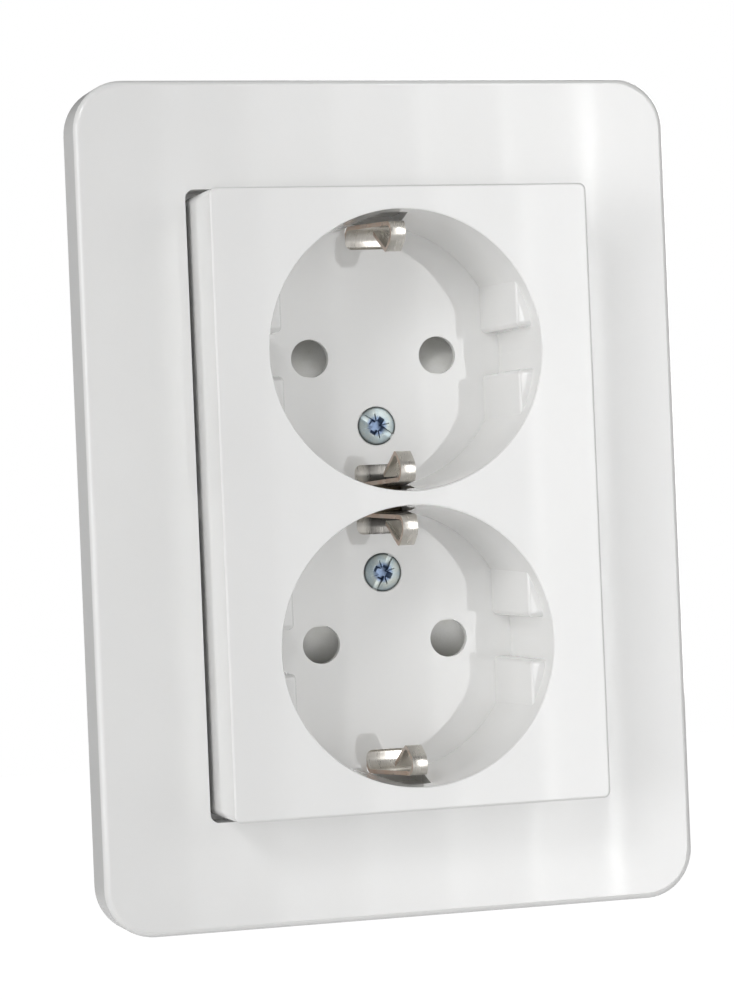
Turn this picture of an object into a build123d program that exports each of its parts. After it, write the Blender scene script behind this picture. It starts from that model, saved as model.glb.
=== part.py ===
from build123d import *
import os

# Double flush wall socket with side earth contacts, one frame, for one wall box.
# X runs to the right, Z up, and the front looks along -Y. The wall plane is Y = 0.
# The origin is the middle of the wall plane, on the axis of the wall box.

# Where the two sockets are
SOCKET_Z = 20.5
PIN_X = 9.5
PIN_HOLE_R = 2.75

# Levels along Y, from the front to the back
PLATE_FRONT_Y = -19.4
FRAME_FRONT_Y = -7.9
SEAT_Y = -2.8
FLOOR_Y = -1.4
SUPPORT_FRONT_Y = -1.2
FLOOR_BACK_Y = -0.3
BASE_FRONT_Y = 0.5
POCKET_END_Y = 6.6
CHAMBER_START_Y = 8.0
BASE_BACK_Y = 21.0
COVER_BACK_Y = 23.0

# Raised centre plate
PLATE_W = 54.0
PLATE_H = 86.5
PLATE_CORNER_R = 1.0
PLATE_BASE_GROWTH = 0.8
PLATE_BASE_CORNER_R = 1.5
PLATE_WALL = 1.6
PLATE_FACE = 2.0
PLATE_EDGE_R = 0.35
RECESS_MOUTH_R = 19.5
RECESS_FLOOR_R = 18.95
RECESS_WALL = 1.5
MOUTH_EDGE_R = 0.15

# Guide blocks at both sides of each recess
GUIDE_FRONT_X = 17.0
GUIDE_FLOOR_X = 16.3
GUIDE_DROP = 3.0
GUIDE_CHANNEL = 6.0
GUIDE_EDGE_R = 0.4
GUIDE_CHANNEL_EDGE_R = 0.8

# Slots and notches for the earth clips
SLOT_HALF_W = 3.55
SLOT_START = 15.5
SLOT_REACH = 19.05
SLOT_CORNER_R = 1.0
NOTCH_HALF_W = 3.6
NOTCH_REACH = 20.2
NOTCH_TOP_Y = -16.0
NOTCH_SHOULDER_Y = -5.1
NOTCH_TAPER = 0.165
NOTCH_BEVEL = 0.6
WEB_CUT_Y = -11.4
WEB_CORE_HALF_W = 5.4
WEB_CORE_HALF_T = 1.0
CLIP_PAD_HALF_W = 4.8
CLIP_PAD_REACH = 21.6

# Cover screws, M3 with a raised countersunk head
SCREW_OFFSET = 9.95
SCREW_HEAD_R = 2.75
SCREW_SHANK_R = 1.5
SCREW_DOME = 0.45
SCREW_END_Y = 7.0
SCREW_SLOT_W = 0.7
SCREW_SLOT_DEPTH = 0.75
SCREW_CROSS_W = 0.8
SCREW_CROSS_L = 2.9
SCREW_CROSS_DEPTH = 1.3
SCREW_TURN = (-35.0, 62.0)

# Outer frame
FRAME_W = 86.6
FRAME_H = 119.1
FRAME_GROWTH = 0.4
FRAME_CORNER_R = 7.0
FRAME_EDGE_R = 0.9
FRAME_WALL = 2.0
OPENING_W = 56.1
OPENING_H = 88.5
OPENING_CORNER_R = 1.3
INNER_WALL = 1.5
LEDGE_W = 51.8
LEDGE_H = 84.4
RIB = 1.0
RIB_END_Y = -1.4
SCREW_NOTCH_HALF_H = 5.5
SCREW_NOTCH_TOP_Y = -3.6

# Steel support plate
SUPPORT_W = 72.0
SUPPORT_H = 92.0
SUPPORT_CORNER_R = 8.0
SUPPORT_OPENING_R = 21.0
SUPPORT_WAIST_HALF_W = 12.5
BOX_SCREW_X = 30.0
BOX_SLOT_L = 7.0
BOX_SLOT_HALF_W = 1.8
CORNER_HOLE_X = 30.0
CORNER_HOLE_Z = 40.0
CORNER_HOLE_R = 2.1
RIVET_X = 18.0
RIVET_R = 1.5
RIVET_HEAD_R = 2.7
RIVET_HEAD = 0.7
RIVET_END_Y = 6.0
RIVET_BORE = 2.5
RIVET_BORE_R = 0.9
RIVET_BOSS_R = 3.4

# Insert housing
BARREL_R = 29.3
BARREL_W = 49.0
BARREL_H = 55.0
BARREL_WALL = 1.3
CHAMBER_INNER_X = 6.0
EARTH_CHAMBER_LOW_X = -4.7
EARTH_CHAMBER_HIGH_X = 4.9
EARTH_CHAMBER_HALF_H = 7.6
COVER_SCREW_Z = 19.5
COVER_SCREW_R = 1.25
COVER_SCREW_HEAD_R = 2.4
COVER_SCREW_HEAD = 1.2
COVER_SCREW_SUNK = 0.1
COVER_SCREW_CROSS = 0.8
COVER_SCREW_END_Y = 12.5
COVER_EDGE = 0.6

# Earth brackets and their bar
STRAP_T = 0.6
STRAP_HALF_W = 3.3
CLIP_TIP_HALF_W = 1.07
EARTH_BAR_T = 0.8
EARTH_BAR_HALF_L = 12.9
EARTH_TAB_X = 3.9
EARTH_TAB_HALF_W = 6.4
BUSH_R = 2.5
BUSH_END_Y = 5.6

# Earth clip form, as depth from the plate front and distance out from the socket axis
CLIP_FRONT = (2.8, 17.6)
CLIP_NOSE = (2.8, 16.4)
CLIP_TIP = (5.3, 14.45)
CLIP_END = (11.5, 17.55)
CLIP_ROOT = 18.2
CLIP_SHOULDER_Y = -2.0
JOGGLE_START = 15.9
JOGGLE_END = 16.5
JOGGLE_RISE = 0.8

# Contact bars of the two poles
BAR_T = 0.8
RAIL_X = 13.8
RAIL_HALF_L = 23.4
JAW_GAP = 4.3
JAW_INNER_X = 6.7
JAW_FRONT_Y = 9.6
JAW_BACK_Y = 17.6
JAW_MOUTH_Y = 8.5
JAW_FLARE = 0.7
CONTACT_END_Y = 19.0

# Clamp springs, release buttons and wire entries
CLAMP_T = 0.4
CLAMP_SPAN = 8.3
CLAMP_HALF_H = 6.4
CLAMP_FRONT_Y = 11.0
CLAMP_BACK_Y = 19.8
CLAMP_FOLD = 2.0
CLAMP_BEND_R = 0.9
CLAMP_TIP = (0.5, 12.2)
CLAMP_SLIT = 1.0
CLAMP_WEB = 2.3
WIRE_OFFSET = 1.2
WIRE_Z = 4.2
WIRE_HOLE_R = 1.7
BUTTON_NEAR = 3.0
BUTTON_FAR = 5.0
BUTTON_HALF_H = 2.1
BUTTON_PROUD = 1.2
BUTTON_PLAY = 0.15
CROSSBAR_FAR = 4.2
CROSSBAR_HALF_H = 6.0
CROSSBAR_FRONT_Y = 17.0
CROSSBAR_BACK_Y = 19.0
SHOULDER_FRONT_Y = 19.6
SHOULDER_HALF_H = 2.9

# Shutters and their springs
SHUTTER_TRAVEL = 5.8
LOBE_HALF_W = 3.4
LOBE_HALF_H = 3.1
LOBE_FRONT_Y = -0.15
LOBE_RAMP_END_Y = 3.5
LOBE_LAND = 0.6
LOBE_BACK_Y = 6.45
BRIDGE_LOW = 1.2
BRIDGE_FRONT_Y = 0.7
BRIDGE_BACK_Y = 4.8
POCKET_PLAY = 0.4
BOSS_HALF_W = 3.6
BOSS_REACH = 6.7
SPRING_WIRE_R = 0.17
SPRING_R = 1.3
SPRING_TURNS = 5
SPRING_Y = 2.75
SPRING_PIN = 0.8

os.makedirs("parts", exist_ok=True)


def face_plane(y):
    """Plane parallel to the wall at the given Y, looking out to the front."""
    return Plane.XZ.offset(-y)


def bent_sheet(points, radii, thickness):
    """Outline of a bent sheet's section: one face through the points, and the other face to its
    left, or to its right where the thickness is negative. The radii are the first face's."""
    points = [Vector(*point) for point in points]
    steps = [(after - before).normalized() for before, after in zip(points, points[1:])]
    lefts = [Vector(-step.Y, step.X) for step in steps]
    far_points = [points[0] + lefts[0] * thickness]
    far_radii = []
    for point, before, after, step, turned, radius in zip(points[1:], lefts, lefts[1:], steps, steps[1:], radii):
        far_points.append(point + (before + after) * (thickness / (1 + before.dot(after))))
        far_radii.append(radius - thickness if step.cross(turned).Z > 0 else radius + thickness)
    far_points.append(points[-1] + lefts[-1] * thickness)
    with BuildLine(Plane.XY) as outline:
        FilletPolyline(*points, radius=radii)
        FilletPolyline(*far_points, radius=far_radii)
        Line(points[0], far_points[0])
        Line(points[-1], far_points[-1])
    return outline.edges()


def finish(builder, name):
    """Label a finished piece and write it to its own file."""
    builder.part.label = name
    export_step(builder.part, f"parts/{name}.step")


# Outer frame
with BuildPart() as frame:
    with BuildSketch(face_plane(0)):
        RectangleRounded(FRAME_W + FRAME_GROWTH, FRAME_H + FRAME_GROWTH, FRAME_CORNER_R)
    with BuildSketch(face_plane(FRAME_FRONT_Y)):
        RectangleRounded(FRAME_W, FRAME_H, FRAME_CORNER_R)
    loft()
    fillet(frame.faces().sort_by(Axis.Y)[0].edges(), FRAME_EDGE_R)
    # Hollow back between the outer wall and the wall around the opening
    with BuildSketch(face_plane(0)):
        RectangleRounded(FRAME_W - 2 * FRAME_WALL, FRAME_H - 2 * FRAME_WALL, FRAME_CORNER_R - FRAME_WALL)
        RectangleRounded(
            OPENING_W + 2 * INNER_WALL, OPENING_H + 2 * INNER_WALL,
            OPENING_CORNER_R + INNER_WALL, mode=Mode.SUBTRACT,
        )
    extrude(amount=-(FRAME_FRONT_Y + FRAME_WALL), mode=Mode.SUBTRACT)
    # Opening down to the ledge that the centre plate seats on, and through the ledge
    with BuildSketch(face_plane(SEAT_Y)):
        RectangleRounded(OPENING_W, OPENING_H, OPENING_CORNER_R)
    extrude(amount=SEAT_Y - FRAME_FRONT_Y, mode=Mode.SUBTRACT)
    with BuildSketch(face_plane(0)):
        RectangleRounded(LEDGE_W, LEDGE_H, OPENING_CORNER_R)
    extrude(amount=-SEAT_Y, mode=Mode.SUBTRACT)
    # The inner wall and ledge stop on the support plate
    with BuildSketch(face_plane(0)):
        Rectangle(OPENING_W + 2 * INNER_WALL + 1, OPENING_H + 2 * INNER_WALL + 1)
    extrude(amount=-SUPPORT_FRONT_Y, mode=Mode.SUBTRACT)
    # Stiffening ribs across the hollow back
    side_rib_x = (FRAME_W / 2 - FRAME_WALL + OPENING_W / 2 + INNER_WALL) / 2
    side_rib_l = FRAME_W / 2 - FRAME_WALL - OPENING_W / 2 - INNER_WALL
    end_rib_z = (FRAME_H / 2 - FRAME_WALL + OPENING_H / 2 + INNER_WALL) / 2
    end_rib_l = FRAME_H / 2 - FRAME_WALL - OPENING_H / 2 - INNER_WALL
    with BuildSketch(face_plane(RIB_END_Y)):
        with GridLocations(2 * side_rib_x, 2 * FRAME_H / 6, 2, 2):
            Rectangle(side_rib_l, RIB)
        with GridLocations(FRAME_W / 4, 2 * end_rib_z, 3, 2):
            Rectangle(RIB, end_rib_l)
    extrude(amount=RIB_END_Y - FRAME_FRONT_Y - FRAME_WALL)
    # Room for the heads of the box screws
    with BuildSketch(face_plane(SUPPORT_FRONT_Y)):
        with GridLocations(2 * BOX_SCREW_X, 0, 2, 1):
            Rectangle(BOX_SLOT_L + 3, 2 * SCREW_NOTCH_HALF_H)
    extrude(amount=SUPPORT_FRONT_Y - SCREW_NOTCH_TOP_Y, mode=Mode.SUBTRACT)
finish(frame, "frame")


def notch_outline(top_y):
    """Clip notch from the recess floor to the given level, narrowing to the front, in the current line."""
    top_half_w = NOTCH_HALF_W - NOTCH_TAPER * (NOTCH_SHOULDER_Y - top_y)
    Polyline(
        (NOTCH_HALF_W, FLOOR_Y),
        (NOTCH_HALF_W, NOTCH_SHOULDER_Y),
        (top_half_w, top_y),
        (-top_half_w, top_y),
        (-NOTCH_HALF_W, NOTCH_SHOULDER_Y),
        (-NOTCH_HALF_W, FLOOR_Y),
        close=True,
    )


# Notch behind the outer clip of one recess, seen from its own axis
with BuildPart() as clip_notch:
    with BuildSketch(Plane.XY.offset(SLOT_START)):
        with BuildLine():
            notch_outline(NOTCH_TOP_Y)
        make_face()
    extrude(amount=NOTCH_REACH - SLOT_START)
    chamfer(clip_notch.edges().filter_by(Axis.X).sort_by(Axis.Y)[0:2].sort_by(Axis.Z)[-1], NOTCH_BEVEL)

# Guide blocks of one recess, seen from its own axis
with BuildPart() as guide_blocks:
    guide_front_y = PLATE_FRONT_Y + GUIDE_DROP
    for side in (1, -1):
        with BuildSketch(Plane.XY):
            with BuildLine():
                Polyline(
                    (side * GUIDE_FRONT_X, guide_front_y),
                    (side * RECESS_MOUTH_R * 1.1, guide_front_y),
                    (side * RECESS_MOUTH_R * 1.1, FLOOR_BACK_Y),
                    (side * GUIDE_FLOOR_X, FLOOR_BACK_Y),
                    (side * GUIDE_FLOOR_X, FLOOR_Y),
                    close=True,
                )
            make_face()
        extrude(amount=RECESS_MOUTH_R / 2, both=True)
    with Locations((0, guide_front_y, 0)):
        Box(3 * RECESS_MOUTH_R, -3 * guide_front_y, GUIDE_CHANNEL, mode=Mode.SUBTRACT)
    channel_edges = guide_blocks.edges().filter_by(
        lambda edge: abs(edge.center().Z) < GUIDE_CHANNEL and edge.center().Y < FLOOR_Y
        and abs(edge.center().X) < RECESS_MOUTH_R
    )
    fillet(channel_edges, GUIDE_CHANNEL_EDGE_R)
    guide_edges = [
        face.edges().filter_by(Axis.Z).sort_by(lambda edge: abs(edge.center().X))[0]
        for face in guide_blocks.faces().sort_by(Axis.Y)[0:4]
    ]
    fillet(guide_edges, GUIDE_EDGE_R)
    with BuildSketch(Plane.XY):
        with BuildLine():
            Polyline(
                (0, PLATE_FRONT_Y),
                (RECESS_MOUTH_R + RECESS_WALL / 2, PLATE_FRONT_Y),
                (RECESS_FLOOR_R + RECESS_WALL / 2, FLOOR_BACK_Y),
                (0, FLOOR_BACK_Y),
                close=True,
            )
        make_face()
    revolve(axis=Axis.Y, mode=Mode.INTERSECT)

# Raised centre plate with the two recesses
with BuildPart() as centre_plate:
    with BuildSketch(face_plane(SEAT_Y)):
        RectangleRounded(PLATE_W + PLATE_BASE_GROWTH, PLATE_H + PLATE_BASE_GROWTH, PLATE_BASE_CORNER_R)
    with BuildSketch(face_plane(PLATE_FRONT_Y)):
        RectangleRounded(PLATE_W, PLATE_H, PLATE_CORNER_R)
    loft()
    fillet(centre_plate.faces().sort_by(Axis.Y)[0].edges(), PLATE_EDGE_R)
    with BuildSketch(face_plane(SEAT_Y)):
        Rectangle(PLATE_W + PLATE_BASE_GROWTH - 2 * PLATE_WALL, PLATE_H + PLATE_BASE_GROWTH - 2 * PLATE_WALL)
    with BuildSketch(face_plane(PLATE_FRONT_Y + PLATE_FACE)):
        Rectangle(PLATE_W - 2 * PLATE_WALL, PLATE_H - 2 * PLATE_WALL)
    loft(mode=Mode.SUBTRACT)
    for side in (1, -1):
        axis_z = side * SOCKET_Z
        # Cup around the recess
        with BuildSketch(Plane.XY.offset(axis_z)):
            with BuildLine():
                Polyline(
                    (0, PLATE_FRONT_Y + PLATE_FACE / 2),
                    (RECESS_MOUTH_R + RECESS_WALL, PLATE_FRONT_Y + PLATE_FACE / 2),
                    (RECESS_FLOOR_R + RECESS_WALL, FLOOR_BACK_Y),
                    (0, FLOOR_BACK_Y),
                    close=True,
                )
            make_face()
        revolve(axis=Axis((0, 0, axis_z), (0, 1, 0)))
        # Thicker wall behind the outer earth clip
        with BuildSketch(face_plane(FLOOR_BACK_Y)):
            with Locations((0, axis_z + side * (SLOT_START + CLIP_PAD_REACH) / 2)):
                Rectangle(2 * CLIP_PAD_HALF_W, CLIP_PAD_REACH - SLOT_START)
        extrude(amount=FLOOR_BACK_Y - PLATE_FRONT_Y - PLATE_FACE)
    for side in (1, -1):
        axis_z = side * SOCKET_Z
        # Tapered recess
        with BuildSketch(Plane.XY.offset(axis_z)):
            with BuildLine():
                Polyline(
                    (0, PLATE_FRONT_Y),
                    (RECESS_MOUTH_R, PLATE_FRONT_Y),
                    (RECESS_FLOOR_R, FLOOR_Y),
                    (0, FLOOR_Y),
                    close=True,
                )
            make_face()
        revolve(axis=Axis((0, 0, axis_z), (0, 1, 0)), mode=Mode.SUBTRACT)
    mouths = centre_plate.faces().sort_by(Axis.Y)[0].edges().filter_by(GeomType.CIRCLE)
    fillet(mouths.filter_by(lambda e: e.radius > RECESS_MOUTH_R - 1), MOUTH_EDGE_R)
    with Locations((0, 0, SOCKET_Z), (0, 0, -SOCKET_Z)):
        add(guide_blocks.part)
    for side in (1, -1):
        axis_z = side * SOCKET_Z
        # Slot in the floor and notch in the wall for the outer clip
        with BuildSketch(face_plane(FLOOR_BACK_Y)):
            with Locations((0, axis_z + side * (SLOT_START + SLOT_REACH) / 2)):
                RectangleRounded(2 * SLOT_HALF_W, SLOT_REACH - SLOT_START, SLOT_CORNER_R)
        extrude(amount=FLOOR_BACK_Y - FLOOR_Y, mode=Mode.SUBTRACT)
        with Locations(Location((0, 0, axis_z), (0, 90 - side * 90, 0))):
            add(clip_notch.part, mode=Mode.SUBTRACT)
    # One opening through the floors and the web for the two inner clips
    with BuildSketch(face_plane(FLOOR_BACK_Y)):
        RectangleRounded(2 * SLOT_HALF_W, 2 * (SOCKET_Z - SLOT_START), SLOT_CORNER_R)
    extrude(amount=FLOOR_BACK_Y - FLOOR_Y, mode=Mode.SUBTRACT)
    with BuildSketch(Plane.XY):
        with BuildLine():
            notch_outline(WEB_CUT_Y)
        make_face()
    extrude(amount=SOCKET_Z - SLOT_START, both=True, mode=Mode.SUBTRACT)
    # Hollow between the two cups, beside this opening
    with BuildSketch(face_plane(FLOOR_BACK_Y)):
        Rectangle(2 * WEB_CORE_HALF_W, 2 * WEB_CORE_HALF_T)
    extrude(amount=FLOOR_BACK_Y - WEB_CUT_Y - 1, mode=Mode.SUBTRACT)
    # Pin holes
    with BuildSketch(face_plane(FLOOR_BACK_Y)):
        with GridLocations(2 * PIN_X, 2 * SOCKET_Z, 2, 2):
            Circle(PIN_HOLE_R)
    extrude(amount=FLOOR_BACK_Y - FLOOR_Y, mode=Mode.SUBTRACT)
    # Countersunk screw holes
    with Locations(face_plane(FLOOR_Y)):
        with Locations((0, SOCKET_Z - SCREW_OFFSET), (0, SCREW_OFFSET - SOCKET_Z)):
            CounterSinkHole(SCREW_SHANK_R + 0.15, SCREW_HEAD_R + 0.12, depth=5, counter_sink_angle=90)
    # Room for the heads of the box screws
    with BuildSketch(face_plane(SEAT_Y)):
        with GridLocations(2 * BOX_SCREW_X, 0, 2, 1):
            Rectangle(BOX_SLOT_L + 3, 2 * SCREW_NOTCH_HALF_H)
    extrude(amount=SEAT_Y - SCREW_NOTCH_TOP_Y, mode=Mode.SUBTRACT)
finish(centre_plate, "centre_plate")


# Two cover screws with a slot crossed by a pointed recess
with BuildPart() as cover_screws:
    for side, turn in zip((1, -1), SCREW_TURN):
        axis_z = side * (SOCKET_Z - SCREW_OFFSET)
        with BuildSketch(Plane.XY.offset(axis_z)):
            with BuildLine():
                Line((0, SCREW_END_Y), (0, FLOOR_Y - SCREW_DOME))
                ThreePointArc(
                    (0, FLOOR_Y - SCREW_DOME),
                    (SCREW_HEAD_R / 2, FLOOR_Y - SCREW_DOME * 0.75),
                    (SCREW_HEAD_R, FLOOR_Y),
                )
                Polyline(
                    (SCREW_HEAD_R, FLOOR_Y),
                    (SCREW_SHANK_R, FLOOR_Y + SCREW_HEAD_R - SCREW_SHANK_R),
                    (SCREW_SHANK_R, SCREW_END_Y - 0.5),
                    (SCREW_SHANK_R - 0.5, SCREW_END_Y),
                    (0, SCREW_END_Y),
                )
            make_face()
        revolve(axis=Axis((0, 0, axis_z), (0, 1, 0)))
        with BuildSketch(face_plane(FLOOR_Y - SCREW_DOME)):
            with Locations((0, axis_z)):
                Rectangle(2 * SCREW_HEAD_R + 1, SCREW_SLOT_W, rotation=turn)
        extrude(amount=-SCREW_SLOT_DEPTH, mode=Mode.SUBTRACT)
        with BuildSketch(face_plane(FLOOR_Y - SCREW_DOME)):
            with Locations((0, axis_z)):
                Rectangle(SCREW_CROSS_L, SCREW_CROSS_W, rotation=turn)
                Rectangle(SCREW_CROSS_W, SCREW_CROSS_L, rotation=turn)
        extrude(amount=-SCREW_CROSS_DEPTH, mode=Mode.SUBTRACT)
finish(cover_screws, "cover_screws")


# Steel support plate
with BuildPart() as support_plate:
    with BuildSketch(face_plane(0)):
        RectangleRounded(SUPPORT_W, SUPPORT_H, SUPPORT_CORNER_R)
        with Locations((0, SOCKET_Z), (0, -SOCKET_Z)):
            Circle(SUPPORT_OPENING_R, mode=Mode.SUBTRACT)
        Rectangle(2 * SUPPORT_WAIST_HALF_W, 2 * SOCKET_Z, mode=Mode.SUBTRACT)
        with GridLocations(0, 2 * (SOCKET_Z + SUPPORT_OPENING_R), 1, 2):
            Rectangle(2 * CLIP_PAD_HALF_W + 1, 2, mode=Mode.SUBTRACT)
        with GridLocations(2 * BOX_SCREW_X, 0, 2, 1):
            SlotOverall(BOX_SLOT_L, 2 * BOX_SLOT_HALF_W, mode=Mode.SUBTRACT)
        with GridLocations(2 * CORNER_HOLE_X, 2 * CORNER_HOLE_Z, 2, 2):
            Circle(CORNER_HOLE_R, mode=Mode.SUBTRACT)
        with GridLocations(2 * RIVET_X, 0, 2, 1):
            Circle(RIVET_R + 0.02, mode=Mode.SUBTRACT)
    extrude(amount=-SUPPORT_FRONT_Y)
finish(support_plate, "support_plate")


# Two hollow rivets that join the support plate and the insert
with BuildPart() as insert_rivets:
    with BuildSketch(face_plane(RIVET_END_Y)):
        with GridLocations(2 * RIVET_X, 0, 2, 1):
            Circle(RIVET_R)
    extrude(amount=RIVET_END_Y - SUPPORT_FRONT_Y)
    with BuildSketch(face_plane(SUPPORT_FRONT_Y)):
        with GridLocations(2 * RIVET_X, 0, 2, 1):
            Circle(RIVET_HEAD_R)
    extrude(amount=RIVET_HEAD, taper=30)
    with BuildSketch(face_plane(SUPPORT_FRONT_Y - RIVET_HEAD)):
        with GridLocations(2 * RIVET_X, 0, 2, 1):
            Circle(RIVET_BORE_R)
    extrude(amount=-RIVET_BORE, mode=Mode.SUBTRACT)
finish(insert_rivets, "insert_rivets")


def barrel_outline(inset):
    """Round insert outline with flats at the sides and ends, in the current sketch."""
    Circle(BARREL_R - inset)
    Rectangle(BARREL_W - 2 * inset, BARREL_H - 2 * inset, mode=Mode.INTERSECT)


# Insert housing with the shutter pockets in front and the contact chambers behind
lobe_play_x = LOBE_HALF_W + POCKET_PLAY
with BuildPart() as insert_base:
    with BuildSketch(face_plane(BASE_BACK_Y)):
        barrel_outline(0)
    extrude(amount=BASE_BACK_Y - BASE_FRONT_Y)
    # Bosses that carry the support plate
    with BuildSketch(face_plane(BASE_FRONT_Y)):
        with GridLocations(2 * RIVET_X, 0, 2, 1):
            Circle(RIVET_BOSS_R)
    extrude(amount=BASE_FRONT_Y)
    with BuildSketch(face_plane(0)):
        with GridLocations(2 * RIVET_X, 0, 2, 1):
            Circle(RIVET_R + 0.02)
    extrude(amount=-RIVET_END_Y, mode=Mode.SUBTRACT)
    # Shutter pockets
    for side in (1, -1):
        pocket_top = side * (SOCKET_Z + LOBE_HALF_H + POCKET_PLAY)
        lobe_end = side * (SOCKET_Z - LOBE_HALF_H - SHUTTER_TRAVEL - POCKET_PLAY)
        boss_end = side * (SOCKET_Z - BOSS_REACH)
        with BuildSketch(face_plane(BASE_FRONT_Y)):
            with Locations((0, (pocket_top + lobe_end) / 2)):
                Rectangle(2 * (PIN_X + lobe_play_x), abs(pocket_top - lobe_end))
            with Locations((0, (lobe_end + boss_end) / 2)):
                Rectangle(2 * BOSS_HALF_W, abs(boss_end - lobe_end), mode=Mode.SUBTRACT)
        extrude(amount=BASE_FRONT_Y - POCKET_END_Y, mode=Mode.SUBTRACT)
    # Seats of the earth bar, its tab and its two bushes
    bar_back_y = FLOOR_BACK_Y + STRAP_T + EARTH_BAR_T
    with BuildSketch(face_plane(BASE_FRONT_Y)):
        Rectangle(2 * STRAP_HALF_W + 0.4, 2 * EARTH_BAR_HALF_L + 0.4)
    extrude(amount=BASE_FRONT_Y - bar_back_y, mode=Mode.SUBTRACT)
    with BuildSketch(face_plane(BASE_FRONT_Y)):
        with Locations((EARTH_TAB_X + BAR_T / 2, 0)):
            Rectangle(BAR_T + 0.3, 2 * EARTH_TAB_HALF_W + 0.4)
    extrude(amount=BASE_FRONT_Y - CHAMBER_START_Y - 1, mode=Mode.SUBTRACT)
    with BuildSketch(face_plane(BASE_FRONT_Y)):
        with Locations((STRAP_HALF_W / 2 + 1, 0)):
            Rectangle(STRAP_HALF_W + 2.4, 2 * EARTH_TAB_HALF_W + 0.4)
    extrude(amount=BASE_FRONT_Y - bar_back_y, mode=Mode.SUBTRACT)
    with BuildSketch(face_plane(bar_back_y)):
        with GridLocations(0, 2 * (SOCKET_Z - SCREW_OFFSET), 1, 2):
            Circle(BUSH_R + 0.05)
    extrude(amount=bar_back_y - SCREW_END_Y - 0.5, mode=Mode.SUBTRACT)
    # Pin passages
    with BuildSketch(face_plane(POCKET_END_Y)):
        with GridLocations(2 * PIN_X, 2 * SOCKET_Z, 2, 2):
            Circle(PIN_HOLE_R)
    extrude(amount=POCKET_END_Y - CHAMBER_START_Y, mode=Mode.SUBTRACT)
    # Contact chambers, open at the back
    with BuildSketch(face_plane(BASE_BACK_Y)):
        barrel_outline(BARREL_WALL)
        Rectangle(2 * CHAMBER_INNER_X, BARREL_H, mode=Mode.SUBTRACT)
    extrude(amount=BASE_BACK_Y - CHAMBER_START_Y, mode=Mode.SUBTRACT)
    with BuildSketch(face_plane(BASE_BACK_Y)):
        with Locations(((EARTH_CHAMBER_LOW_X + EARTH_CHAMBER_HIGH_X) / 2, 0)):
            Rectangle(EARTH_CHAMBER_HIGH_X - EARTH_CHAMBER_LOW_X, 2 * EARTH_CHAMBER_HALF_H)
    extrude(amount=BASE_BACK_Y - CHAMBER_START_Y, mode=Mode.SUBTRACT)
    # Screw holes for the rear cover
    with BuildSketch(face_plane(BASE_BACK_Y)):
        with GridLocations(0, 2 * COVER_SCREW_Z, 1, 2):
            Circle(COVER_SCREW_R)
    extrude(amount=BASE_BACK_Y - COVER_SCREW_END_Y, mode=Mode.SUBTRACT)
finish(insert_base, "insert_base")


# Places of the three terminals: X of the contact rail's clamping face, and the side its spring is on
TERMINALS = {
    "live": (-RAIL_X - BAR_T, -1),
    "neutral": (RAIL_X + BAR_T, 1),
    "earth": (EARTH_TAB_X, -1),
}


def terminal_x(terminal, offset):
    """X of a point that lies the given distance out from a terminal's clamping face."""
    rail_x, side = TERMINALS[terminal]
    return rail_x + side * offset


# Rear cover with wire entries and windows for the release buttons
with BuildPart() as rear_cover:
    with BuildSketch(face_plane(COVER_BACK_Y)):
        barrel_outline(0)
    extrude(amount=COVER_BACK_Y - BASE_BACK_Y)
    chamfer(rear_cover.faces().sort_by(Axis.Y)[-1].edges(), COVER_EDGE)
    with BuildSketch(face_plane(COVER_BACK_Y)):
        for terminal in TERMINALS:
            with Locations((terminal_x(terminal, WIRE_OFFSET), 0)):
                with GridLocations(0, 2 * WIRE_Z, 1, 2):
                    Circle(WIRE_HOLE_R)
            with Locations((terminal_x(terminal, (BUTTON_NEAR + BUTTON_FAR) / 2), 0)):
                Rectangle(BUTTON_FAR - BUTTON_NEAR + 2 * BUTTON_PLAY, 2 * (BUTTON_HALF_H + BUTTON_PLAY))
    extrude(amount=COVER_BACK_Y - BASE_BACK_Y, mode=Mode.SUBTRACT)
    with BuildSketch(face_plane(COVER_BACK_Y)):
        with GridLocations(0, 2 * COVER_SCREW_Z, 1, 2):
            Circle(COVER_SCREW_HEAD_R + 0.1)
    extrude(amount=COVER_SCREW_HEAD, mode=Mode.SUBTRACT)
    with BuildSketch(face_plane(COVER_BACK_Y)):
        with GridLocations(0, 2 * COVER_SCREW_Z, 1, 2):
            Circle(COVER_SCREW_R + 0.05)
    extrude(amount=COVER_BACK_Y - BASE_BACK_Y, mode=Mode.SUBTRACT)
finish(rear_cover, "rear_cover")


# Two self-tapping screws that hold the rear cover
with BuildPart() as rear_cover_screws:
    with BuildSketch(face_plane(COVER_BACK_Y - COVER_SCREW_HEAD)):
        with GridLocations(0, 2 * COVER_SCREW_Z, 1, 2):
            Circle(COVER_SCREW_R)
    extrude(amount=COVER_BACK_Y - COVER_SCREW_HEAD - COVER_SCREW_END_Y)
    with BuildSketch(face_plane(COVER_BACK_Y - COVER_SCREW_SUNK)):
        with GridLocations(0, 2 * COVER_SCREW_Z, 1, 2):
            Circle(COVER_SCREW_HEAD_R)
    extrude(amount=COVER_SCREW_HEAD - COVER_SCREW_SUNK)
    with BuildSketch(face_plane(COVER_BACK_Y - COVER_SCREW_SUNK)):
        with GridLocations(0, 2 * COVER_SCREW_Z, 1, 2):
            Rectangle(SCREW_CROSS_L, SCREW_CROSS_W)
            Rectangle(SCREW_CROSS_W, SCREW_CROSS_L)
    extrude(amount=COVER_SCREW_CROSS, mode=Mode.SUBTRACT)
finish(rear_cover_screws, "rear_cover_screws")


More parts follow.
